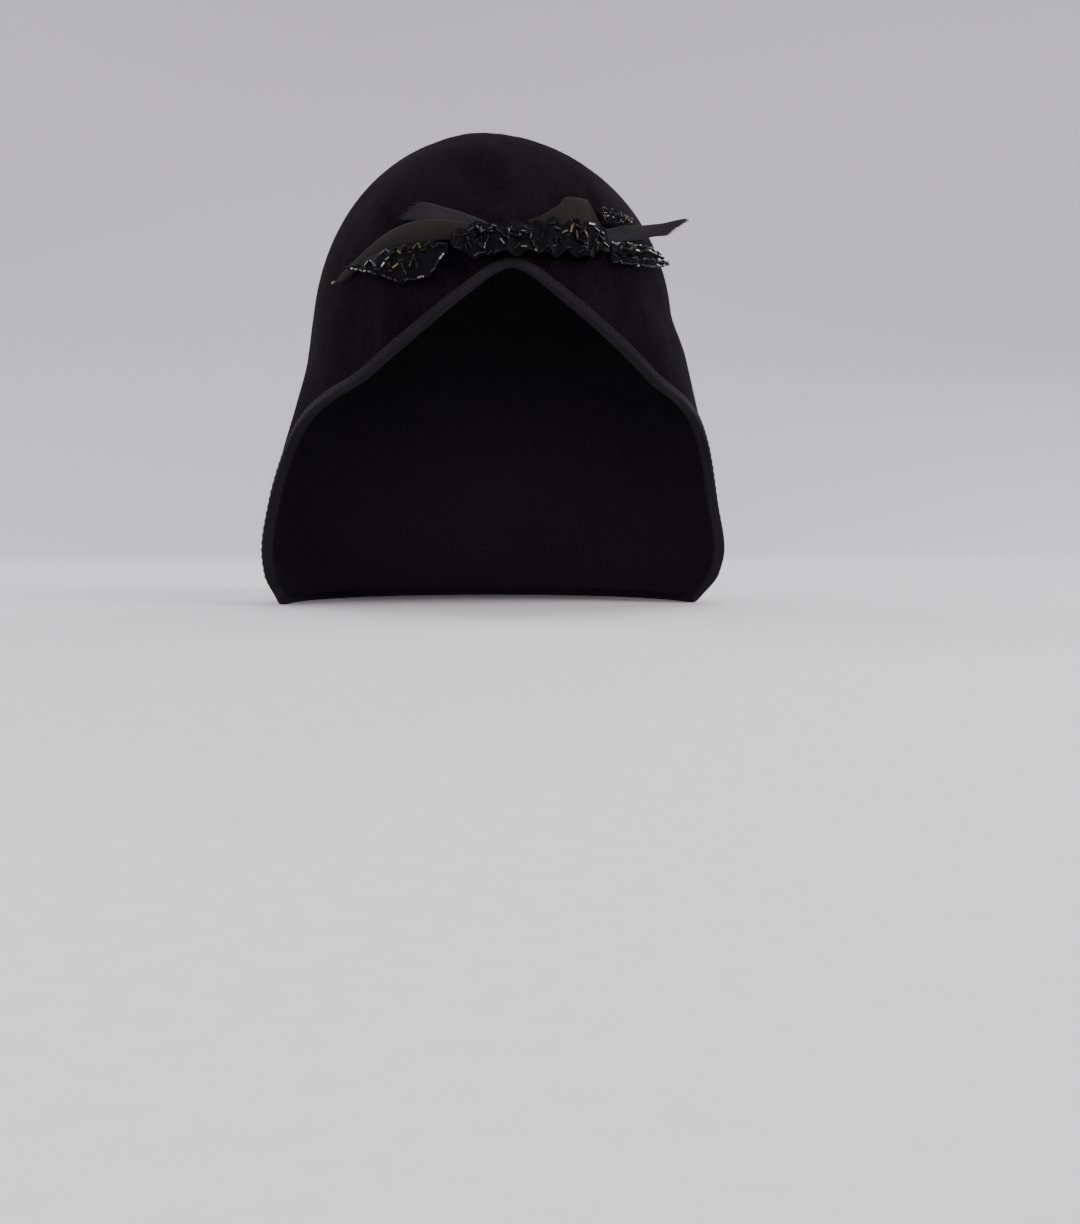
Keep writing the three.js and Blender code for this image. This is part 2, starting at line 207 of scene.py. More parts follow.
LEAF_MIDDLE = trim_rows(
    (30.2, 0, -0.46, -0.9, 0),
    (40, 0, -0.3, -0.76, 0.04),
    (48, 0, -0.28, -0.66, 0.13),
    (55, 0, -0.5, -0.58, 0.27),
)
LEAF_LOWER = trim_rows(
    (30.2, 0, -0.94, -1.26, 0),
    (41, 0, -0.82, -1.18, 0.05),
    (52, 0, -0.72, -0.94, 0.24),
    (59, 0, -0.64, -0.72, 0.42),
)

# The hat's surface


def read(sheet, key, value, column):
    """A table's column at a value of its key, as a smooth curve that ends level."""
    keys = sheet[key]
    marks = sheet[column]
    gaps = np.diff(keys)
    secants = np.diff(marks) / gaps
    before = secants[:-1]
    after = secants[1:]
    steady = before * after > 0
    slopes = np.zeros(len(keys))
    slopes[1:-1] = np.where(steady, 2 * before * after / np.where(steady, before + after, 1), 0)
    place = np.clip(value, keys[0], keys[-1])
    i = np.clip(np.searchsorted(keys, place, side="right") - 1, 0, len(gaps) - 1)
    t = (place - keys[i]) / gaps[i]
    ease = t * t * (3 - 2 * t)
    leave = t * (1 - t) ** 2 * gaps[i] * slopes[i]
    arrive = t * t * (1 - t) * gaps[i] * slopes[i + 1]
    return marks[i] + (marks[i + 1] - marks[i]) * ease + leave - arrive


def smooth_step(value, low, high):
    t = np.clip((value - low) / (high - low), 0, 1)
    return t * t * (3 - 2 * t)


def dome_share(z):
    t = np.clip((z - SHOULDER_HEIGHT) / (HAT_HEIGHT - SHOULDER_HEIGHT), 0, 1)
    return (1 - t**DOME_ROUNDNESS) ** (1 / DOME_ROUNDNESS)


def lean_at(z):
    t = np.clip((z - SHOULDER_HEIGHT) / (HAT_HEIGHT - SHOULDER_HEIGHT), 0, None)
    return -CROWN_LEAN * t**4


def half_width(z, side):
    return CROWN_WIDTH / 2 * dome_share(z) * read(SECTIONS, "height", z / HAT_HEIGHT, side)


def reach(z, end):
    named = FRONT_REACH if end == "front" else BACK_REACH
    return named * dome_share(z) * read(SECTIONS, "height", z / HAT_HEIGHT, end)


def plan_at(z, on_left, in_front):
    """Half width and reach of the hat at a height, on one of its sides and ends."""
    wide = np.where(on_left, half_width(z, "left"), half_width(z, "right"))
    return wide, np.where(in_front, reach(z, "front"), reach(z, "back"))


def dent_depth(azimuth, z):
    total = 0
    for i in range(len(DENTS["azimuth"])):
        dent = {name: column[i] for name, column in DENTS.items()}
        u = (azimuth - dent["azimuth"]) / dent["across"]
        v = (z / HAT_HEIGHT - dent["height"]) / dent["up"] - dent["lean"] * u
        total = total + dent["depth"] * FELT_THICKNESS * np.exp(-u * u - v * v)
    return total


def surface(azimuth, z):
    """Points of the felt's outer side. Azimuth 0 is the front and 90 the wearer's left."""
    azimuth, z = np.broadcast_arrays(np.asarray(azimuth, float), np.asarray(z, float))
    turn = np.radians(azimuth)
    sin = np.sin(turn)
    cos = np.cos(turn)
    pressed = 1 - dent_depth(azimuth, z) / FRONT_REACH
    wide, deep = plan_at(z, sin < 0, cos > 0)
    return np.stack([lean_at(z) + wide * sin * pressed, -deep * cos * pressed, z], axis=-1)


def unit(vectors):
    return vectors / np.maximum(np.linalg.norm(vectors, axis=-1, keepdims=True), 1e-12)


def outward(azimuth, z):
    """Direction off the felt: level on the upright wall, square to the felt on the dome."""
    step = 0.05
    across = surface(azimuth + step, z) - surface(azimuth - step, z)
    up = surface(azimuth, z + step) - surface(azimuth, z - step)
    out = unit(np.cross(across, up))
    out[..., 2] *= smooth_step(np.asarray(z), PEAK_HEIGHT, RING_HEIGHT + RIBBON_WIDTH)
    return unit(out)


def offset(azimuth, z, distance):
    azimuth, z, distance = np.broadcast_arrays(azimuth, z, distance)
    return surface(azimuth, z) + outward(azimuth, z) * distance[..., None]


def rim_columns(half_columns):
    """The rim's columns once round, from the front over the wearer's left to the nape."""
    fine = 2880
    bend_reach = 22
    turns = np.linspace(0, 180, fine + 1)
    line = surface(turns, PEAK_HEIGHT * read(RIM, "azimuth", turns, "height"))
    steps = np.diff(line, axis=0)
    ahead = unit(steps)
    following = np.vstack([ahead[1:], ahead[-1:]])
    bends = np.arccos(np.clip((ahead * following).sum(axis=1), -1, 1))
    stations = np.concatenate([[0], np.cumsum(np.linalg.norm(steps, axis=1) + bend_reach * bends)])
    right = np.interp(np.linspace(0, stations[-1], half_columns + 1), stations, turns)
    azimuth = np.concatenate([right, -right[1:-1][::-1]])
    z = PEAK_HEIGHT * read(RIM, "azimuth", np.abs(azimuth), "height")
    crown = np.sign(azimuth) * np.interp(np.abs(azimuth), RIM["azimuth"], RIM["crown"])
    point = surface(azimuth, z)
    along = unit(np.roll(point, -1, axis=0) - np.roll(point, 1, axis=0))
    away = unit(np.cross(along, outward(azimuth, z)))
    return {"azimuth": azimuth, "z": z, "crown": crown, "point": point, "away": away}


def inset(columns, distance):
    """Azimuths and heights on the felt that lie a distance in from the rim."""
    p = columns["point"] - columns["away"] * distance
    z = p[:, 2]
    wide, deep = plan_at(z, p[:, 0] < 0, p[:, 1] < 0)
    x = (p[:, 0] - lean_at(z)) / wide
    return np.degrees(np.arctan2(x, -p[:, 1] / deep)), z


# Making meshes


def make_mesh(name, points, faces, finishes, smooth=True):
    mesh = bpy.data.meshes.new(name)
    mesh.from_pydata(points.tolist(), [], [tuple(face) for face in faces])
    mesh.polygons.foreach_set("use_smooth", [smooth] * len(mesh.polygons))
    for finish in finishes:
        mesh.materials.append(finish)
    return mesh


def make_piece(name, body, finishes, replaces=(), kinds=None, faceted=False):
    """A piece of the hat from a body: points in millimetres of the hat's frame, and faces."""
    points, faces = body
    placed = (np.asarray(points).reshape(-1, 3) + FRAME_SHIFT) * MM
    mesh = make_mesh(name, placed, faces, finishes, not faceted)
    if kinds is not None:
        mesh.polygons.foreach_set("material_index", kinds)
    mesh.update()
    made = add_object(name, mesh)
    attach(made, "root")
    if replaces:
        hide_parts(*replaces)
    return made


def ring_faces(rows, wide, ring=False, closed=False):
    """Quads over a grid of points, rows by columns, whose rows and columns may close on themselves."""
    spans = (rows if closed else rows - 1, wide if ring else wide - 1)
    i, j = np.meshgrid(*(np.arange(span) for span in spans), indexing="ij")
    k = (j + 1) % wide
    m = (i + 1) % rows
    return np.stack([i * wide + j, m * wide + j, m * wide + k, i * wide + k], axis=-1).reshape(-1, 4)


def turned(faces):
    """The same quads seen from their other side."""
    return faces[:, [0, 3, 2, 1]]


def side_faces(p, q, under, flip):
    """Quads that join an edge of the outer skin to the same edge of the inner one."""
    quad = [p, q, q + under, p + under]
    return np.stack(quad[::-1] if flip else quad, axis=1)


def slab(outer, inner, ring=False, open_start=False):
    """Points and faces of a closed sheet between two grids of points, rows by columns."""
    rows, wide = outer.shape[:2]
    under = rows * wide
    top = ring_faces(rows, wide, ring)
    parts = [top, top[:, ::-1] + under]
    across = np.arange(wide if ring else wide - 1)
    last = (rows - 1) * wide
    if not open_start:
        parts.append(side_faces(across, (across + 1) % wide, under, False))
    parts.append(side_faces(last + across, last + (across + 1) % wide, under, True))
    if not ring:
        down = np.arange(rows - 1) * wide
        parts.append(side_faces(down, down + wide, under, True))
        parts.append(side_faces(down + wide - 1, down + 2 * wide - 1, under, False))
    points = np.concatenate([outer.reshape(-1, 3), inner.reshape(-1, 3)])
    return points, np.concatenate(parts).tolist()


def stamp(form, places, along, normal, size=1.0):
    """Copies of a small form, each with its Z along one direction and its Y off the felt."""
    points, faces = form
    z = unit(along)
    x = unit(np.cross(normal, z))
    y = np.cross(z, x)
    grown = points[None] * np.broadcast_to(size, (len(places), 3))[:, None]
    moved = grown[..., :1] * x[:, None] + grown[..., 1:2] * y[:, None] + grown[..., 2:] * z[:, None]
    return join((copy, faces) for copy in moved + places[:, None])


def lathe(profile, sides):
    """Closed ring form turned round Z from a closed profile of radius and height."""
    turns = np.linspace(0, 2 * np.pi, sides, endpoint=False)
    radius, height = np.array(profile, float).T
    size = len(profile)
    points = np.empty((sides, size, 3))
    points[..., 0] = np.outer(np.cos(turns), radius)
    points[..., 1] = np.outer(np.sin(turns), radius)
    points[..., 2] = height
    return points.reshape(-1, 3), ring_faces(sides, size, ring=True, closed=True).tolist()


def tube(line, radii, sides=5):
    """Points and faces of a thread along a line, closed at both ends."""
    line = np.asarray(line, float)
    ahead = unit(np.gradient(line, axis=0))
    reference = np.array((0.31, 0.42, 0.85))
    side = unit(np.cross(ahead, reference))
    other = np.cross(ahead, side)
    turns = np.linspace(0, 2 * np.pi, sides, endpoint=False)
    rings = np.cos(turns)[None, :, None] * side[:, None] + np.sin(turns)[None, :, None] * other[:, None]
    points = line[:, None] + rings * np.asarray(radii, float).reshape(-1, 1, 1)
    count = len(line)
    faces = turned(ring_faces(count, sides, ring=True)).tolist()
    start = count * sides
    points = np.concatenate([points.reshape(-1, 3), line[:1], line[-1:]])
    last = (count - 1) * sides
    for j in range(sides):
        k = (j + 1) % sides
        faces.append((k, j, start))
        faces.append((last + j, last + k, start + 1))
    return points, faces


def join(bodies):
    """One body from many."""
    points = []
    faces = []
    start = 0
    for body_points, body_faces in bodies:
        points.append(body_points)
        faces.extend([corner + start for corner in face] for face in body_faces)
        start += len(body_points)
    return np.concatenate(points), faces


# Materials


def feed(tree, socket, value):
    """Links an output into a socket, or sets the socket's own value."""
    if isinstance(value, bpy.types.NodeSocket):
        tree.links.new(value, socket)
    else:
        socket.default_value = value


def put(tree, kind, wires=None, **settings):
    """A node with its settings, and with values or other nodes' outputs in its sockets."""
    made = tree.nodes.new(kind)
    for name, value in settings.items():
        setattr(made, name, value)
    for name, value in (wires or {}).items():
        feed(tree, made.inputs[name], value)
    return made


def work_out(tree, operation, *terms):
    """Output of one sum, product or other step between values."""
    return put(tree, "ShaderNodeMath", dict(enumerate(terms)), operation=operation).outputs[0]


def stretch(tree, value, low, high, start=0.0, end=1.0):
    """Output of a value taken from one range to another."""
    wires = {"Value": value, "From Min": low, "From Max": high, "To Min": start, "To Max": end}
    return put(tree, "ShaderNodeMapRange", wires).outputs[0]


def drift(tree, place, fineness, detail, **more):
    """Output of soft noise over a place."""
    wires = {"Vector": place, "Scale": fineness, "Detail": detail, **more}
    return put(tree, "ShaderNodeTexNoise", wires).outputs["Fac"]


def mixed(tree, share, first, second):
    """Output of a colour mix between two values or outputs."""
    return put(tree, "ShaderNodeMix", {0: share, 6: first, 7: second}, data_type="RGBA").outputs[2]


def effect(name, inputs, outputs):
    """An empty shader node group with named sockets, and its two end nodes."""
    tree = bpy.data.node_groups.new(name, "ShaderNodeTree")
    for socket, kind, value in inputs:
        made = tree.interface.new_socket(socket, in_out="INPUT", socket_type="NodeSocket" + kind)
        if value is not None:
            made.default_value = value
    for socket, kind in outputs:
        tree.interface.new_socket(socket, in_out="OUTPUT", socket_type="NodeSocket" + kind)
    return tree, put(tree, "NodeGroupInput").outputs, put(tree, "NodeGroupOutput").inputs


def velour_nap():
    """Brushed pile of the fur felt: tufts that lie downwards, with lighter and darker strokes."""
    tree, given, wanted = effect(
        "velour nap",
        [("Place", "Vector", None), ("Dark", "Color", (0, 0, 0, 1)), ("Light", "Color", (1, 1, 1, 1))],
        [("Color", "Color"), ("Height", "Float"), ("Roughness", "Float")],
    )
    lie = put(tree, "ShaderNodeVectorMath", {0: given["Place"], 1: (1, 1, 0.42)}, operation="MULTIPLY")
    tufts = drift(tree, lie.outputs[0], 1400.0, 4.0, Roughness=0.62)
    strokes = drift(tree, lie.outputs[0], 46.0, 5.0, Roughness=0.6, Distortion=0.6)
    broad = drift(tree, given["Place"], 11.0, 2.0)
    together = work_out(tree, "ADD", work_out(tree, "ADD", strokes, broad), tufts)
    shade = stretch(tree, together, 1.2, 1.8)
    tree.links.new(mixed(tree, shade, given["Dark"], given["Light"]), wanted["Color"])
    tree.links.new(tufts, wanted["Height"])
    tree.links.new(stretch(tree, shade, 0.0, 1.0, 1.0, 0.82), wanted["Roughness"])
    return tree


def lint_specks():
    """A few pale specks of lint and dust that sit on dark cloth."""
    tree, given, wanted = effect(
        "lint specks",
        [
            ("Place", "Vector", None),
            ("Cloth", "Color", (0, 0, 0, 1)),
            ("Lint", "Color", (1, 1, 1, 1)),
            ("Amount", "Float", 0.5),
        ],
        [("Color", "Color")],
    )
    grains = put(tree, "ShaderNodeTexVoronoi", {"Vector": given["Place"], "Scale": 300.0})
    near = stretch(tree, grains.outputs["Distance"], 0.02, 0.07, 1.0, 0.0)
    rare = stretch(tree, drift(tree, given["Place"], 38.0, 3.0), 0.6, 0.72)
    amount = work_out(tree, "MULTIPLY", work_out(tree, "MULTIPLY", near, rare), given["Amount"])
    tree.links.new(mixed(tree, amount, given["Cloth"], given["Lint"]), wanted["Color"])
    return tree


def thread_weave():
    """Fine plain weave over a cloth's own length and width, both in millimetres."""
    tree, given, wanted = effect(
        "thread weave",
        [
            ("Cloth place", "Vector", None),
            ("Warp per mm", "Float", 3.0),
            ("Weft per mm", "Float", 1.0),
            ("Weft share", "Float", 0.7),
        ],
        [("Height", "Float"), ("Hole", "Float")],
    )
    split = put(tree, "ShaderNodeSeparateXYZ", {"Vector": given["Cloth place"]})
    waves = []
    for axis, count in (("Y", "Warp per mm"), ("X", "Weft per mm")):
        turns = work_out(tree, "MULTIPLY", split.outputs[axis], given[count])
        wave = work_out(tree, "COSINE", work_out(tree, "MULTIPLY", turns, 2 * math.pi))
        waves.append(stretch(tree, wave, -1.0, 1.0))
    warp, weft = waves
    tree.links.new(stretch(tree, given["Weft share"], 0.0, 1.0, warp, weft), wanted["Height"])
    thin = work_out(tree, "MAXIMUM", warp, weft)
    tree.links.new(stretch(tree, thin, 0.42, 0.6, 1.0, 0.0), wanted["Hole"])
    return tree


NAP = velour_nap()
LINT = lint_specks()
WEAVE = thread_weave()


def new_material(name, **constants):
    """A material with its Principled BSDF, whose constant values are set on its own sockets."""
    material = bpy.data.materials.new(name)
    material.use_nodes = True
    tree = material.node_tree
    tree.nodes.clear()
    shader = put(tree, "ShaderNodeBsdfPrincipled")
    for socket, value in constants.items():
        shader.inputs[socket.replace("_", " ")].default_value = value
    ending = put(tree, "ShaderNodeOutputMaterial")
    tree.links.new(shader.outputs[0], ending.inputs["Surface"])
    return material, tree, shader


def place_of(tree):
    return put(tree, "ShaderNodeTexCoord").outputs["Object"]


def cloth_place_of(tree):
    return put(tree, "ShaderNodeUVMap", uv_map="Cloth").outputs[0]


def use(tree, shared, wires):
    """Outputs of a shared effect, with this material's own values in its sockets."""
    return put(tree, "ShaderNodeGroup", wires, node_tree=shared).outputs


def bump(tree, shader, height, distance, strength):
    made = put(tree, "ShaderNodeBump", {"Height": height, "Distance": distance, "Strength": strength})
    tree.links.new(made.outputs[0], shader.inputs["Normal"])


def felt_velour():
    material, tree, shader = new_material(
        "black fur felt velour",
        Specular_IOR_Level=0.02,
        Sheen_Weight=0.035,
        Sheen_Roughness=0.45,
        Sheen_Tint=(0.115, 0.105, 0.125, 1),
    )
    place = place_of(tree)
    dark = (0.0016, 0.0013, 0.0018, 1)
    light = (0.0078, 0.0064, 0.0079, 1)
    nap = use(tree, NAP, {"Place": place, "Dark": dark, "Light": light})
    dust = {"Place": place, "Cloth": nap["Color"], "Lint": (0.10, 0.095, 0.09, 1), "Amount": 0.55}
    tree.links.new(use(tree, LINT, dust)["Color"], shader.inputs["Base Color"])
    tree.links.new(nap["Roughness"], shader.inputs["Roughness"])
    bump(tree, shader, nap["Height"], 0.0004, 0.6)
    return material


def ribbon_finish(name, dark, light, sheen, roughness):
    """Ribbed ribbon: the ribs are in the mesh, and the yarns across and along them here."""
    material, tree, shader = new_material(
        name,
        Specular_IOR_Level=0.09,
        Sheen_Weight=0.04,
        Sheen_Roughness=0.35,
        Sheen_Tint=sheen,
        Roughness=roughness,
    )
    place = place_of(tree)
    cloth = cloth_place_of(tree)
    yarns = {"Cloth place": cloth, "Warp per mm": 2.6, "Weft per mm": 1.1, "Weft share": 0.35}
    tone = mixed(tree, drift(tree, place, 120.0, 4.0), dark, light)
    dust = {"Place": place, "Cloth": tone, "Lint": (0.16, 0.15, 0.15, 1), "Amount": 0.4}
    tree.links.new(use(tree, LINT, dust)["Color"], shader.inputs["Base Color"])
    bump(tree, shader, use(tree, WEAVE, yarns)["Height"], 0.00012, 0.8)
    return material


def gauze_finish():
    """Thin black net under the beads, with its small holes."""
    material, tree, shader = new_material("black bead gauze", Specular_IOR_Level=0.05, Roughness=0.6)
    cloth = cloth_place_of(tree)
    yarns = {"Cloth place": cloth, "Warp per mm": 1.6, "Weft per mm": 1.6, "Weft share": 0.5}
    weave = use(tree, WEAVE, yarns)
    cloudy = drift(tree, place_of(tree), 90.0, 3.0)
    tone = mixed(tree, cloudy, (0.0016, 0.0013, 0.0019, 1), (0.0058, 0.0048, 0.0058, 1))
    dim = mixed(tree, weave["Hole"], tone, (0.0012, 0.0011, 0.0013, 1))
    tree.links.new(dim, shader.inputs["Base Color"])
    bump(tree, shader, weave["Height"], 0.0002, 0.7)
    return material


def grained_finish(name, dark, light, fineness, detail, raised=0.0, strength=0.0, **constants):
    """A finish whose colour drifts between two tones, its grain raised where that is asked."""
    material, tree, shader = new_material(name, **constants)
    grain = drift(tree, place_of(tree), fineness, detail)
    tree.links.new(mixed(tree, grain, dark, light), shader.inputs["Base Color"])
    if raised:
        bump(tree, shader, grain, raised, strength)
    return material


def bead_finish(name, dark, light, **constants):
    """Cut glass bugle bead with a wet shine and small flaws in its surface."""
    return grained_finish(name, dark, light, 900.0, 2.0, 0.00006, 0.6, Coat_Roughness=0.05, **constants)


def thread_finish(name, dark, light):
    """Dull sewing or ribbon thread with its twist."""
    dull = {"Roughness": 0.7, "Specular_IOR_Level": 0.1}
    return grained_finish(name, dark, light, 2400.0, 1.0, 0.00008, 0.7, **dull)


FELT = felt_velour()
# The felt's inner side is painted several times lighter than its outer side: painted light that stands in
# for light reaching into the hat.
FELT_INSIDE_PAINTED_LIGHT = grained_finish(
    "black fur felt inside with painted light", (0.011, 0.0095, 0.0115, 1), (0.020, 0.018, 0.021, 1),
    700.0, 4.0, 0.0003, 0.5, Roughness=0.95, Specular_IOR_Level=0.03,
)
PILE = grained_finish(
    "black fur felt pile", (0.0035, 0.0028, 0.0035, 1), (0.012, 0.010, 0.0115, 1),
    500.0, 1.0, Roughness=0.9, Specular_IOR_Level=0.05,
)
BINDING = ribbon_finish(
    "grey-black rim binding", (0.0061, 0.0054, 0.0075, 1), (0.0103, 0.0092, 0.0126, 1),
    (0.35, 0.33, 0.4, 1), 0.7,
)
RIBBON = ribbon_finish(
    "olive-black ribbon", (0.0069, 0.0066, 0.0060, 1), (0.0112, 0.0108, 0.0098, 1),
    (0.3, 0.3, 0.28, 1), 0.68,
)
TAIL_RIBBON = ribbon_finish(
    "grey ribbon tail", (0.0100, 0.0092, 0.0107, 1), (0.0158, 0.0147, 0.0168, 1),
    (0.4, 0.38, 0.42, 1), 0.66,
)
GAUZE = gauze_finish()
BINDING_THREAD = thread_finish("black sewing thread", (0.003, 0.0026, 0.0036, 1), (0.007, 0.0065, 0.008, 1))
RIBBON_THREAD = thread_finish("loose ribbon thread", (0.014, 0.0090, 0.0085, 1), (0.040, 0.027, 0.025, 1))
JET = bead_finish(
    "jet glass", (0.002, 0.002, 0.0025, 1), (0.005, 0.005, 0.006, 1),
    Roughness=0.1, Specular_IOR_Level=0.22,
)
AMBER = bead_finish(
    "bronze glass", (0.05, 0.033, 0.012, 1), (0.2, 0.145, 0.06, 1),
    Metallic=0.75, Roughness=0.16, Coat_Weight=0.6,
)
SILVER = bead_finish(
    "grey lustre glass", (0.03, 0.03, 0.033, 1), (0.22, 0.22, 0.23, 1),
    Metallic=0.8, Roughness=0.16, Coat_Weight=0.6,
)
BEAD_GLASS = [JET, AMBER, SILVER]

# Felt body

FELT_COLUMNS = 150
DOME_ROWS = 44
WALL_ROWS = 60
NAPE_BLEND = 14


def hand_blocked(azimuth, z):
    """Slight unevenness that blocking by hand leaves, as depths into the felt in millimetres."""
    a = np.sin(0.13 * azimuth + 0.052 * z + 1.1)
    b = np.sin(0.21 * azimuth - 0.083 * z + 0.4)
    c = np.sin(0.058 * azimuth + 0.021 * z * np.cos(0.02 * azimuth) + 2.3)
    return 0.1 * (1 + a * b) + 0.12 * (1 + c)


def felt_rows(columns):
    """Azimuths and heights of the felt's rows, from near the top down to the rim."""
    share = (RING_HEIGHT - SHOULDER_HEIGHT) / (HAT_HEIGHT - SHOULDER_HEIGHT)
    ring_turn = math.acos(share ** (DOME_ROUNDNESS / 2))
    rows = []
    for row in range(1, DOME_ROWS + 1):
        height = math.cos(ring_turn * row / DOME_ROWS) ** (2 / DOME_ROUNDNESS)
        z = SHOULDER_HEIGHT + (HAT_HEIGHT - SHOULDER_HEIGHT) * height
        rows.append((columns["crown"], np.full(len(columns["crown"]), z)))
    end_azimuth, end_z = inset(columns, BINDING_THICKNESS + SEAT_GAP)
    gap = (end_azimuth - columns["crown"] + 180) % 360 - 180
    for row in range(1, WALL_ROWS + 1):
        t = row / WALL_ROWS
        rows.append((columns["crown"] + gap * t, RING_HEIGHT + (end_z - RING_HEIGHT) * t))
    return np.array(rows).swapaxes(0, 1)


def make_felt():
    columns = rim_columns(FELT_COLUMNS)
    azimuth, z = felt_rows(columns)
    turn = (azimuth + 180) % 360 - 180
    seamless = smooth_step(180 - np.abs(turn), 0, NAPE_BLEND)
    outer = offset(azimuth, z, -hand_blocked(turn, z) * seamless)
    inner = offset(azimuth, z, -FELT_THICKNESS)
    points, faces = slab(outer, inner, ring=True, open_start=True)
    wide = azimuth.shape[1]
    under = azimuth.size
    skin = under - wide
    # Inner faces take the inside finish, which is painted lighter as painted light inside the hat.
    kinds = [0] * skin + [1] * skin + [0] * wide + [0, 1] * wide
    top = np.array((lean_at(HAT_HEIGHT), 0, HAT_HEIGHT))
    for i in range(wide):
        j = (i + 1) % wide
        faces.append([2 * under, i, j])
        faces.append([2 * under + 1, under + j, under + i])
    points = np.concatenate([points, [top, top - (0, 0, FELT_THICKNESS)]])
    return make_piece("felt_shell", (points, faces), [FELT, FELT_INSIDE_PAINTED_LIGHT], ["felt_body"], kinds)


make_felt()

NAP_HAIRS = 24000
NAP_LENGTH = 0.75
NAP_THICKNESS = 0.1
NAP_ROOT = 0.15
NAP_SWAY = 0.35
NAP_RISE = (0.25, 0.9)
NAP_DRAWS = np.random.default_rng(11)


def nap_roots(columns):
    """Azimuths and heights of the hairs, spread evenly over the felt's outer side."""
    azimuth, z = felt_rows(columns)
    grid = surface(azimuth, z)
    across = np.linalg.norm(np.roll(grid, -1, axis=1) - grid, axis=2)[:-1]
    down = np.linalg.norm(np.diff(grid, axis=0), axis=2)
    shares = (across * down).ravel()
    cells = NAP_DRAWS.choice(len(shares), NAP_HAIRS, p=shares / shares.sum())
    row, column = np.unravel_index(cells, across.shape)
    beside = (column + 1) % azimuth.shape[1]
    u, v = NAP_DRAWS.random((2, NAP_HAIRS))
    turn = (azimuth[row, beside] - azimuth[row, column] + 180) % 360 - 180
    return azimuth[row, column] + turn * u, z[row, column] + (z[row + 1, column] - z[row, column]) * v


def make_nap():
    """Short hairs of the brushed pile, which lie downwards on the felt."""
    azimuth, z = nap_roots(rim_columns(FELT_COLUMNS))
    root = offset(azimuth, z, np.full(NAP_HAIRS, -NAP_ROOT))
    off = outward(azimuth, z)
    down = unit(surface(azimuth, z - 0.5) - surface(azimuth, z + 0.5))
    side = np.cross(off, down)
    sway = NAP_DRAWS.normal(0, NAP_SWAY, (NAP_HAIRS, 1))
    lie = unit(down + side * sway + off * NAP_DRAWS.uniform(*NAP_RISE, (NAP_HAIRS, 1)))
    length = NAP_LENGTH * NAP_DRAWS.uniform(0.5, 1.0, (NAP_HAIRS, 1))
    half = NAP_THICKNESS / 2
    corners = [root + side * half, root - side * half, root + unit(np.cross(side, lie)) * half]
    points = np.stack([*corners, root + lie * length], axis=1)
    starts = 4 * np.arange(NAP_HAIRS)[:, None, None]
    faces = (starts + np.array([(0, 2, 1), (0, 1, 3), (1, 2, 3), (2, 0, 3)])).reshape(-1, 3)
    return make_piece("felt_nap", (points, faces.tolist()), [PILE], faceted=True)


make_nap()

# Rim binding and its stitches

BINDING_COLUMNS = 450
OUTER_FACE = SEAT_GAP + BINDING_THICKNESS
INNER_FACE = -FELT_THICKNESS - OUTER_FACE
FOLD_FLAT = 1
FOLD_BEVEL = 0.2
FOLD_CREASE = 0.1
STITCH_PITCH = 3.1
STITCH_INSET = 2.75
STITCH_LENGTH = 2.0
STITCH_RADIUS = 0.2


def binding_section():
    """The folded band's outline as distances in from the rim and out from the felt."""
    bend = [math.radians(turn) for turn in np.linspace(90, 0, 6)]
    rounded = [BINDING_ROUND * np.array((1 - math.cos(turn), 1 - math.sin(turn))) for turn in bend]
    low = INNER_FACE + BINDING_THICKNESS
    return [
        (BINDING_WIDTH, OUTER_FACE - 1.1 * FOLD_BEVEL),
        (BINDING_WIDTH - FOLD_BEVEL, OUTER_FACE),
        (BINDING_WIDTH - FOLD_FLAT, OUTER_FACE),
        *((inward, OUTER_FACE - out) for inward, out in rounded),
        *((inward, INNER_FACE + out) for inward, out in rounded[::-1]),
        (BINDING_WIDTH - FOLD_FLAT, INNER_FACE),
        (BINDING_WIDTH - FOLD_BEVEL, INNER_FACE),
        (BINDING_WIDTH, INNER_FACE + 1.1 * FOLD_BEVEL),
        (BINDING_WIDTH, low),
        (BINDING_THICKNESS + FOLD_CREASE, low),
        (BINDING_THICKNESS, low + FOLD_CREASE),
        (BINDING_THICKNESS, SEAT_GAP - FOLD_CREASE),
        (BINDING_THICKNESS + FOLD_CREASE, SEAT_GAP),
        (BINDING_WIDTH, SEAT_GAP),
    ]


def rim_line(columns, distance, out):
    azimuth, z = inset(columns, distance)
    return offset(azimuth, z, out)


def make_binding():
    columns = rim_columns(BINDING_COLUMNS)
    section = binding_section()
    rings = np.stack([rim_line(columns, inward, out) for inward, out in section], axis=1)
    count, size = rings.shape[:2]
    body = (rings, turned(ring_faces(count, size, ring=True, closed=True)).tolist())
    band = make_piece("rim_band", body, [BINDING], ["edge_binding"])
    steps = np.linalg.norm(np.diff(columns["point"], axis=0), axis=1)
    travelled = np.concatenate([[0], np.cumsum(steps)])
    wrapped = [inward + out for inward, out in section]
    add_cloth_map(band, travelled[:, None], wrapped)
    return band, columns


def add_cloth_map(made, along, across):
    """Gives each skin of a piece its places on the flat cloth, in millimetres."""
    along, across = np.broadcast_arrays(along, across)
    skins = len(made.data.vertices) // along.size
    layer = made.data.uv_layers.new(name="Cloth")
    corners = np.empty(len(made.data.loops), int)
    made.data.loops.foreach_get("vertex_index", corners)
    pairs = np.stack([np.tile(way.ravel(), skins)[corners] for way in (along, across)], axis=1)
    layer.uv.foreach_set("vector", pairs.astype(np.float32).ravel())


def stitch_form(length, radius):
    """One small stitch: a rounded thread that rises out of the cloth and goes back in."""
    share = np.linspace(0, 1, 6)
    arch = np.sin(np.pi * share)
    line = np.stack([0 * share, radius * (1.1 * arch - 0.75), length * (share - 0.5)], axis=1)
    return tube(line, radius * (0.45 + 0.55 * arch**0.5), 6)


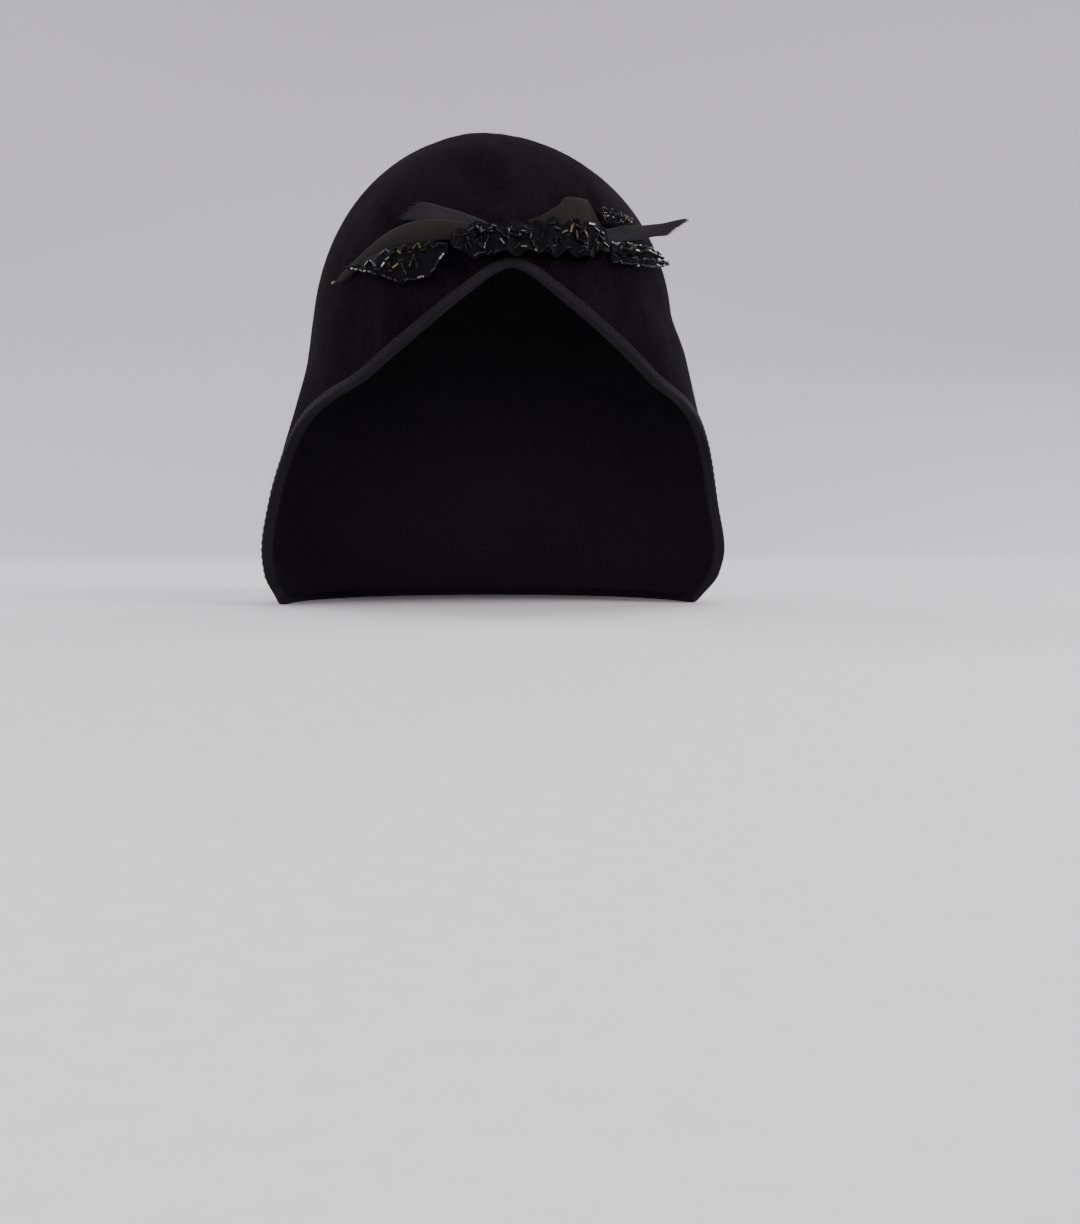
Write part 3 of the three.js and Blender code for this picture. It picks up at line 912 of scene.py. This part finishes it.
def walk(line, pitch, closed=False):
    """Places, directions and shares of the way at an even pitch along a line."""
    loop = np.vstack([line, line[:1]]) if closed else line
    lengths = np.concatenate([[0], np.cumsum(np.linalg.norm(np.diff(loop, axis=0), axis=1))])
    count = max(1, int(round(lengths[-1] / pitch)))
    at = (np.arange(count) + 0.5) * lengths[-1] / count

    def point(station):
        return np.stack([np.interp(station, lengths, loop[:, k]) for k in range(3)], axis=1)

    return point(at), unit(point(at + 0.4 * pitch) - point(at - 0.4 * pitch)), at / lengths[-1]


def make_rim_stitches(columns):
    thread = stitch_form(STITCH_LENGTH, STITCH_RADIUS)
    bodies = []
    for out, away in ((OUTER_FACE, 1), (INNER_FACE, -1)):
        line = rim_line(columns, STITCH_INSET, out)
        beyond = rim_line(columns, STITCH_INSET, out + away)
        places, ahead, share = walk(line, STITCH_PITCH, closed=True)
        column = (share * len(line)).astype(int) % len(line)
        bodies.append(stamp(thread, places, ahead, (beyond - line)[column]))
    return make_piece("rim_stitches", join(bodies), [BINDING_THREAD])


rim_band, rim = make_binding()
make_rim_stitches(rim)

# Ribbon and bead trim

RIB_PITCH = 0.95
RIB_HEIGHT = 0.16
STEPS_PER_RIB = 6
RIBBON_CELLS = 12
UNDERSIDE = 0.12
LOOP_TURN = 0.965
LOOP_RETURN = 0.3
LOOP_STAND = 0.75
LOOP_SEAT = 0.3
RUFFLE_DEPTH = 2.6
RUFFLE_FOLDS = 8
LEAF_SWELL = 0.9
LOOP_BULGE = 2.1
RUFFLE_CRUMPLE = 0.4
TAIL_CURL = 1.1
TAIL_TWIST = 0.9
POINT_BOW = 0.5
RAGGED_WAVES = (53, 31)
END_REACH = 0.16
NOTCH_REACH = 0.15
SLANT_REACH = 0.5
CLOSED_RISE = 0.2
TRIM_DRAWS = np.random.default_rng(7)


def lying(along, up):
    return 0 * along


def tail_curl(along, up):
    """The cut end of the left tail stands a little off the crown."""
    return TAIL_CURL * (1 - along) ** 3 + 0.35 * np.sin(5 * along + 2 * up) ** 2 * (1 - along)


def point_bow(along, up):
    """The long point swells softly between its two sewn ends."""
    return POINT_BOW * np.sin(np.pi * along) * np.sin(np.pi * up) + 0.2 * np.sin(9 * along + 1.5 * up) ** 2


def free_tail(along, up):
    """The right tail twists a little where it leaves the crown."""
    return TAIL_TWIST * (up - 0.5) * along**2 + 0.25 * np.sin(7 * along) ** 2


def gathers(along, up):
    """Folds of the ruffle, tight at its sewn middle and open at both edges."""
    uneven = 0.16 * np.sin(11 * along) + 0.1 * np.sin(29 * along + 3 * up)
    turns = RUFFLE_FOLDS * along + 0.6 * up * np.sin(8 * along) + uneven
    wave = 0.5 - 0.5 * np.cos(2 * np.pi * turns)
    open_edge = 0.6 + 0.4 * np.abs(2 * up - 1)
    deep = 0.75 + 0.25 * np.sin(17 * along + 1)
    small = RUFFLE_CRUMPLE * np.sin(61 * along + 5 * up) * np.sin(23 * along - 7 * up)
    ends = np.sin(np.pi * np.clip(along, 0.01, 0.99)) ** 0.5
    return (RUFFLE_DEPTH * wave * open_edge * deep + small) * ends + RUFFLE_CRUMPLE


def leaf_waves(waves, crumple):
    """A leaf's gentle crown and waves, with the small crumples of stiff gauze."""

    def fold(along, up):
        crown = LEAF_SWELL * np.sin(np.pi * up) * (0.6 + 0.4 * np.cos(2 * np.pi * waves * along))
        small = np.sin(37 * along + 4 * up) * np.sin(17 * along - 6 * up + waves)
        return crown + crumple * (1 + small) / 2

    return fold


def trim_shape(rows, layer, fold, **edges):
    """A trim piece: its table, its layer on the felt, its folds, its edges and its cut ends."""
    plain = {"ragged": 0.0, "first_end": 0.0, "last_end": 0.0, "notch": 0.0, "slant": 0.0}
    return {"table": rows, "lift": SEAT_GAP + layer * LAYER_STEP, "fold": fold, **plain, **edges}


TRIM = {
    "ribbon_tail_left": trim_shape(TAIL_LEFT, 0, tail_curl),
    "ribbon_point_left": trim_shape(POINT_LEFT, 1, point_bow),
    "ribbon_loop_right": trim_shape(LOOP_RIGHT, 1, lying),
    "ribbon_tail_right": trim_shape(TAIL_RIGHT, 0, free_tail, notch=0.025, slant=0.15),
    "beaded_leaf_left": trim_shape(LEAF_LEFT, 2, leaf_waves(3, 0.4), ragged=0.015, last_end=0.6),
    "beaded_ruffle": trim_shape(RUFFLE, 2, gathers, ragged=0.06, first_end=0.5, last_end=0.3),
    "beaded_leaf_upper": trim_shape(LEAF_UPPER, 1, leaf_waves(2, 0.6), ragged=0.06, last_end=0.4),
    "beaded_leaf_middle": trim_shape(LEAF_MIDDLE, 1, leaf_waves(3, 0.5), ragged=0.06),
    "beaded_leaf_lower": trim_shape(LEAF_LOWER, 0, leaf_waves(3, 0.5), ragged=0.06),
}


def trim_point(shape, along, up, rise=0.0):
    """Place on a trim piece: along its length, up its width, and a rise off its underside."""
    along, up, rise = np.broadcast_arrays(*(np.asarray(value, float) for value in (along, up, rise)))
    rows = shape["table"]
    first, last = rows["azimuth"][[0, -1]]
    uneven = np.sin(RAGGED_WAVES[0] * along) + np.sin(RAGGED_WAVES[1] * along + 2)
    closed = shape["first_end"] * smooth_step(END_REACH - along, 0, END_REACH) ** 2
    closed = closed + shape["last_end"] * smooth_step(along, 1 - END_REACH, 1) ** 2
    notch = shape["notch"] * smooth_step(along, 1 - NOTCH_REACH, 1) * (1 - np.abs(2 * up - 1))
    notch = notch + shape["slant"] * smooth_step(along, 1 - SLANT_REACH, 1) * (1 - up)
    wide = (1 + 2 * shape["ragged"] * uneven) * (1 - closed)
    up = 0.5 + (up - 0.5) * wide + CLOSED_RISE * closed
    azimuth = first + (last - first) * (along - notch)
    mark = {name: read(rows, "azimuth", azimuth, name) for name in ("lean", "top", "bottom", "lift")}
    z = TRIM_HEIGHT + RIBBON_WIDTH * (mark["bottom"] + (mark["top"] - mark["bottom"]) * up)
    lift = shape["lift"] + RIBBON_WIDTH * mark["lift"] + shape["fold"](along - notch, up) + rise
    return offset(azimuth + mark["lean"] * (1 - up), z, lift)


RUN_MARKS = np.linspace(0, 1, 401)


def run_of(shape, up=0.5):
    """Lengths along a trim piece at even shares of its way."""
    line = trim_point(shape, RUN_MARKS, up)
    return np.concatenate([[0], np.cumsum(np.linalg.norm(np.diff(line, axis=0), axis=1))])


def widths_of(shape):
    """Widths of a trim piece at even shares of its way."""
    rows = shape["table"]
    azimuth = rows["azimuth"][0] + (rows["azimuth"][-1] - rows["azimuth"][0]) * RUN_MARKS
    share = read(rows, "azimuth", azimuth, "top") - read(rows, "azimuth", azimuth, "bottom")
    return RIBBON_WIDTH * share


# Least width of a trim piece's flat cloth in millimetres, and least share of its width times length that
# its own area fills.
LEAST_CUT = 10
LEAST_FILL = 0.3


def declare_cloth(name, with_pieces, layers=1.0):
    """Works out the flat cloth a trim piece is cut from: its width, its length and its own area, and keeps
    none of them.
    """
    shape = TRIM[name]
    widths = widths_of(shape)
    steps = np.diff(run_of(shape))
    length = layers * steps.sum()
    width = max(widths.max(), LEAST_CUT)
    area = layers * (steps * (widths[1:] + widths[:-1]) / 2).sum()
    area = max(area, 1.01 * LEAST_FILL * width * length)


def even_turns(cells):
    """Shares up a cloth's width, closer at both its edges."""
    return 0.5 - 0.5 * np.cos(np.pi * np.arange(cells + 1) / cells)[None]


def cloth_grid(shape, steps, cells):
    """Shares along and up, closer at the two long edges, and their lengths on the flat cloth."""
    along = np.linspace(0, 1, steps + 1)[:, None]
    up = even_turns(cells)
    along, up = np.broadcast_arrays(along, up)
    run = np.interp(along, RUN_MARKS, run_of(shape))
    return along, up, run


def thin_edge(along, up):
    """Share of the ribbon's thickness that is left at its rounded edges and ends."""
    return 1 - 0.6 * np.abs(2 * up - 1) ** 14 - 0.4 * np.abs(2 * along - 1) ** 200


def ribs(run, up):
    """Height of the ribbon's cross ribs, which stop at its firm selvedges."""
    inside = 1 - np.abs(2 * up - 1) ** 10
    return RIB_HEIGHT * (0.5 + 0.5 * np.cos(2 * np.pi * run / RIB_PITCH)) * inside


def add_ribbon(name, material):
    shape = TRIM[name]
    length = run_of(shape)[-1]
    along, up, run = cloth_grid(shape, int(round(length / RIB_PITCH)) * STEPS_PER_RIB, RIBBON_CELLS)
    outer = trim_point(shape, along, up, RIBBON_THICKNESS * thin_edge(along, up) + ribs(run, up))
    inner = trim_point(shape, along, up, UNDERSIDE * RIBBON_THICKNESS)
    cloth = make_piece(name + "_cloth", slab(outer, inner), [material], [name])
    add_cloth_map(cloth, run, RIBBON_WIDTH * up)
    return cloth


def add_loop(name, material):
    """The ribbon comes from the ruffle, turns round a soft fold and goes back behind itself."""
    shape = TRIM[name]
    length = run_of(shape)[-1]
    front = np.linspace(0, LOOP_TURN, 170)
    turn = np.radians(np.linspace(0, 180, 16))[1:-1]
    back = np.linspace(LOOP_TURN, LOOP_RETURN, 60)
    bulge = LOOP_BULGE * np.sin(np.pi * front) ** 0.7 + LOOP_STAND
    deep = 0.5 * (bulge[-1] - LOOP_SEAT)
    along = np.concatenate([front, LOOP_TURN + deep / length * np.sin(turn), back])
    rise = np.concatenate([bulge, LOOP_SEAT + deep + deep * np.cos(turn), 0 * back + LOOP_SEAT])
    step_along = np.gradient(along) * length
    step_rise = np.gradient(rise)
    size = np.hypot(step_along, step_rise)
    off = (-step_rise / size / length, step_along / size)
    run = np.cumsum(size)
    up = even_turns(RIBBON_CELLS)
    swell = 0.35 + 0.65 * up**2
    half = RIBBON_THICKNESS / 2 * thin_edge(0.5, up)
    grain = ribs(run[:, None], up)
    skins = []
    for side in (1, -1):
        push = side * half + (grain if side > 0 else 0)
        skin_along = along[:, None] + off[0][:, None] * push
        skin_rise = rise[:, None] * swell + off[1][:, None] * push
        skins.append(trim_point(shape, skin_along, up, skin_rise))
    cloth = make_piece(name + "_cloth", slab(*skins), [material], [name])
    add_cloth_map(cloth, run[:, None], RIBBON_WIDTH * up)
    return cloth


FRAY_ROOT = 0.8
FRAY_RADIUS = (0.07, 0.12)
FRAY_TAPER = np.array((1, 1, 0.95, 0.85, 0.7, 0.45))


def add_fray(name, end, count, length, curl):
    """Loose threads at a ribbon's cut end."""
    shape = TRIM[name]
    inward = 0.02 if end == 0 else -0.02
    t = np.linspace(0, 1, 6)[:, None]
    bodies = []
    for up in np.linspace(0.03, 0.97, count):
        up = up + TRIM_DRAWS.uniform(-0.015, 0.015)
        root = trim_point(shape, end, up, RIBBON_THICKNESS / 2)
        before = trim_point(shape, end + inward, up, RIBBON_THICKNESS / 2)
        off = unit(trim_point(shape, end, up, 2) - root)
        ahead = unit(root - before)
        side = np.cross(ahead, off)
        long = length * TRIM_DRAWS.uniform(0.35, 1.0)
        bend = TRIM_DRAWS.uniform(-curl, curl, 2) * long
        sunk = FRAY_ROOT * ahead
        line = root - sunk + (long + FRAY_ROOT) * t * ahead + t**2 * (bend[0] * off + bend[1] * side)
        thick = TRIM_DRAWS.uniform(*FRAY_RADIUS)
        bodies.append(tube(line, thick * FRAY_TAPER, 4))
    return make_piece(name + "_fray", join(bodies), [RIBBON_THREAD])


def add_gauze(name, steps, cells):
    """A crumpled gauze sheet with uneven edges."""
    shape = TRIM[name]
    along, up, run = cloth_grid(shape, steps, cells)
    outer = trim_point(shape, along, up, GAUZE_THICKNESS)
    inner = trim_point(shape, along, up, 0)
    cloth = make_piece(name + "_gauze", slab(outer, inner), [GAUZE], [name])
    add_cloth_map(cloth, run, widths_of(shape).max() * up)
    return cloth


BUGLE_RADIUS = 0.5
BUGLE = lathe(
    [(0.2, -1.12), (0.43, -1.25), (0.5, -1.13), (0.5, 1.13), (0.43, 1.25), (0.2, 1.12)],
    8,
)
SEED = lathe(
    [(0.16, -0.22), (0.34, -0.36), (0.52, -0.2), (0.55, 0), (0.52, 0.2), (0.34, 0.36), (0.16, 0.22)],
    8,
)


def zigzag(teeth, low, high, start=0.03, end=0.97, phase=0, stray=0.0):
    """A line that goes up and down between two shares of the width, its turns given."""
    marks = []
    for i in range(2 * teeth + 1):
        along = start + (end - start) * (i + TRIM_DRAWS.uniform(-stray, stray)) / (2 * teeth)
        up = (low, high)[(i + phase) % 2] + TRIM_DRAWS.uniform(-stray, stray) / 2
        marks.append((min(max(along, start), end), min(max(up, low), high)))
    return marks


def bead_line(shape, path, pitch):
    """Places, directions and normals of beads along a path of shares on a trim piece."""
    marks = np.array(path, float)
    share = np.linspace(0, len(marks) - 1, 24 * len(marks))
    along = np.interp(share, np.arange(len(marks)), marks[:, 0])
    up = np.interp(share, np.arange(len(marks)), marks[:, 1])
    line = trim_point(shape, along, up, GAUZE_THICKNESS + BUGLE_RADIUS)
    above = trim_point(shape, along, up, GAUZE_THICKNESS + BUGLE_RADIUS + 1)
    places, ahead, way = walk(line, pitch)
    at = (way * (len(line) - 1)).round().astype(int)
    return places, ahead, unit(above - line)[at]


def add_beads(name, lines, form, pitch, loose, missing, bronze, grey):
    """Rows of beads sewn on a gauze piece: jet, with a share of bronze and a share of grey."""
    places, ahead, normal = (
        np.concatenate(rows) for rows in zip(*(bead_line(TRIM[name], path, pitch) for path in lines))
    )
    kept = TRIM_DRAWS.random(len(places)) > missing
    places, ahead, normal = places[kept], ahead[kept], normal[kept]
    tilt = TRIM_DRAWS.normal(0, loose, places.shape)
    size = TRIM_DRAWS.uniform(0.88, 1.06, (len(places), 1))
    places = places + normal * TRIM_DRAWS.uniform(-0.1, 0.25, (len(places), 1))
    body = stamp(form, places, ahead + tilt, normal, size)
    draw = TRIM_DRAWS.random(len(places))
    kind = np.where(draw < bronze, 1, np.where(draw < bronze + grey, 2, 0))
    kinds = np.repeat(kind, len(form[1]))
    return make_piece(name + "_beads", body, BEAD_GLASS, kinds=kinds, faceted=True)


def add_tip_bead(name):
    """The one bronze bead at the long point's tip."""
    shape = TRIM[name]
    ends = trim_point(shape, np.array((0.0, 0.03)), 0.5, RIBBON_THICKNESS + BUGLE_RADIUS)
    above = trim_point(shape, 0.0, 0.5, RIBBON_THICKNESS + BUGLE_RADIUS + 1)
    body = stamp(BUGLE, ends[:1], ends[1:] - ends[:1], (above - ends[0])[None], 0.8)
    return make_piece("ribbon_tip_bead", body, [AMBER], faceted=True)


LOWER_EDGE = [(0.02, 0.04), (0.98, 0.04)]
UPPER_EDGE = [(0.02, 0.96), (0.98, 0.96)]
LOOP_LAYERS = 1.67

# Each ribbon's name, making, finish, hold and layers, and its frayed end where it has one.
RIBBONS = (
    ("ribbon_tail_left", add_ribbon, TAIL_RIBBON, "draped", 1, (0, 44, 3.2, 0.5)),
    ("ribbon_point_left", add_ribbon, RIBBON, "draped", 1, (0, 6, 1.6, 0.3)),
    ("ribbon_loop_right", add_loop, RIBBON, "folded", LOOP_LAYERS, None),
    ("ribbon_tail_right", add_ribbon, TAIL_RIBBON, "draped", 1, (1, 26, 2.6, 0.35)),
)


def trim_ribbons():
    for name, make, finish, held, layers, end in RIBBONS:
        cloth = make(name, finish)
        sewn = [add_fray(name, *end)] if end else []
        if name == "ribbon_point_left":
            sewn.append(add_tip_bead(name))
        declare_cloth(name, sewn, layers)


def trim_gauze(name, steps, cells, held, **beads):
    """A gauze piece and the beads sewn on it."""
    gauze = add_gauze(name, steps, cells)
    declare_cloth(name, [add_beads(name, **beads)])


trim_ribbons()
trim_gauze(
    "beaded_leaf_left", 160, 26, "laid",
    form=BUGLE, pitch=2.8, loose=0.12, missing=0.12, bronze=0.09, grey=0.04,
    lines=[
        LOWER_EDGE,
        zigzag(6, 0.78, 0.97, 0.4, 0.99),
        zigzag(4, 0.15, 0.7, 0.25, 0.8, stray=0.6),
    ],
)
trim_gauze(
    "beaded_ruffle", 420, 30, "gathered",
    form=BUGLE, pitch=2.9, loose=0.3, missing=0.3, bronze=0.06, grey=0.08,
    lines=[
        zigzag(9, 0.05, 0.3, stray=0.8),
        zigzag(10, 0.1, 0.9, stray=0.8),
        zigzag(8, 0.15, 0.85, phase=1, stray=0.8),
        zigzag(9, 0.65, 0.95, phase=1, stray=0.8),
    ],
)
trim_gauze(
    "beaded_leaf_upper", 90, 18, "laid",
    form=SEED, pitch=1.2, loose=0.4, missing=0.25, bronze=0.02, grey=0.08,
    lines=[LOWER_EDGE, UPPER_EDGE, zigzag(6, 0.2, 0.85, stray=0.6)],
)
trim_gauze(
    "beaded_leaf_middle", 130, 18, "laid",
    form=BUGLE, pitch=2.75, loose=0.14, missing=0.1, bronze=0.1, grey=0.09,
    lines=[UPPER_EDGE, zigzag(4, 0.3, 0.6, 0.1, 0.9, stray=0.5)],
)
trim_gauze(
    "beaded_leaf_lower", 130, 18, "laid",
    form=BUGLE, pitch=2.75, loose=0.14, missing=0.15, bronze=0.06, grey=0.12,
    lines=[LOWER_EDGE, UPPER_EDGE],
)

# Studio

STUDIO_RADIUS = 2.4
STUDIO_BEND = 0.9
STUDIO_HEIGHT = 2.6
STUDIO_SIDES = 96
PAPER = grained_finish(
    "pale studio paper", (0.70, 0.685, 0.705, 1), (0.75, 0.735, 0.755, 1),
    260.0, 3.0, Roughness=0.85, Specular_IOR_Level=0.2,
)
LIGHT_AIM = (0, 0, 0.1)

# Each light's place and width in metres, its power in watts and its colour.
SOFTBOXES = (
    ("window_right", (1.1, -1.0, 1.1), 0.9, 22, (1, 0.99, 0.97)),
    ("room_left", (-1.3, -0.9, 0.8), 1.2, 11, (1, 0.96, 0.92)),
    ("ceiling", (0.1, 0.3, 1.7), 1.3, 11, (0.97, 0.98, 1)),
    ("back_right", (1.1, 1.2, 1.2), 1.1, 13, (0.98, 0.98, 1)),
    ("back_left", (-1.2, 1.1, 1.2), 1.1, 13, (0.98, 0.98, 1)),
    ("room_front", (-0.15, -1.7, 0.22), 1.0, 12, (1, 0.98, 0.96)),
)


def make_studio():
    """A round sweep of pale paper: a floor that bends up into a wall all the way round."""
    flat = STUDIO_RADIUS - STUDIO_BEND
    bend = np.radians(np.linspace(0, 90, 16))
    radius = np.concatenate([[0.3, 0.8], flat + STUDIO_BEND * np.sin(bend), [STUDIO_RADIUS]])
    height = np.concatenate([[0, 0], STUDIO_BEND * (1 - np.cos(bend)), [STUDIO_HEIGHT]])
    turns = np.linspace(0, 2 * np.pi, STUDIO_SIDES, endpoint=False)
    across = np.outer(radius, np.cos(turns))
    deep = np.outer(radius, np.sin(turns))
    up = np.broadcast_to(height[:, None], across.shape)
    points = np.stack([across, deep, up], axis=-1).reshape(-1, 3)
    faces = ring_faces(len(radius), STUDIO_SIDES, ring=True).tolist()
    faces.append(list(range(STUDIO_SIDES)))
    sweep = add_object("studio_sweep", make_mesh("studio_sweep", points, faces, [PAPER]))


def add_softbox(name, place, size, power, tint):
    lamp = bpy.data.lights.new(name, "AREA")
    lamp.shape = "DISK"
    lamp.size = size
    lamp.energy = power
    lamp.color = tint
    made = add_object(name, lamp)
    made.location = place
    made.rotation_euler = (Vector(LIGHT_AIM) - Vector(place)).to_track_quat("-Z", "Y").to_euler()


def make_light():
    world = bpy.data.worlds.new("soft_room")
    world.use_nodes = True
    background = world.node_tree.nodes["Background"]
    background.inputs["Color"].default_value = (0.9, 0.92, 1, 1)
    background.inputs["Strength"].default_value = 0.35
    bpy.context.scene.world = world
    for softbox in SOFTBOXES:
        add_softbox(*softbox)


make_studio()
make_light()
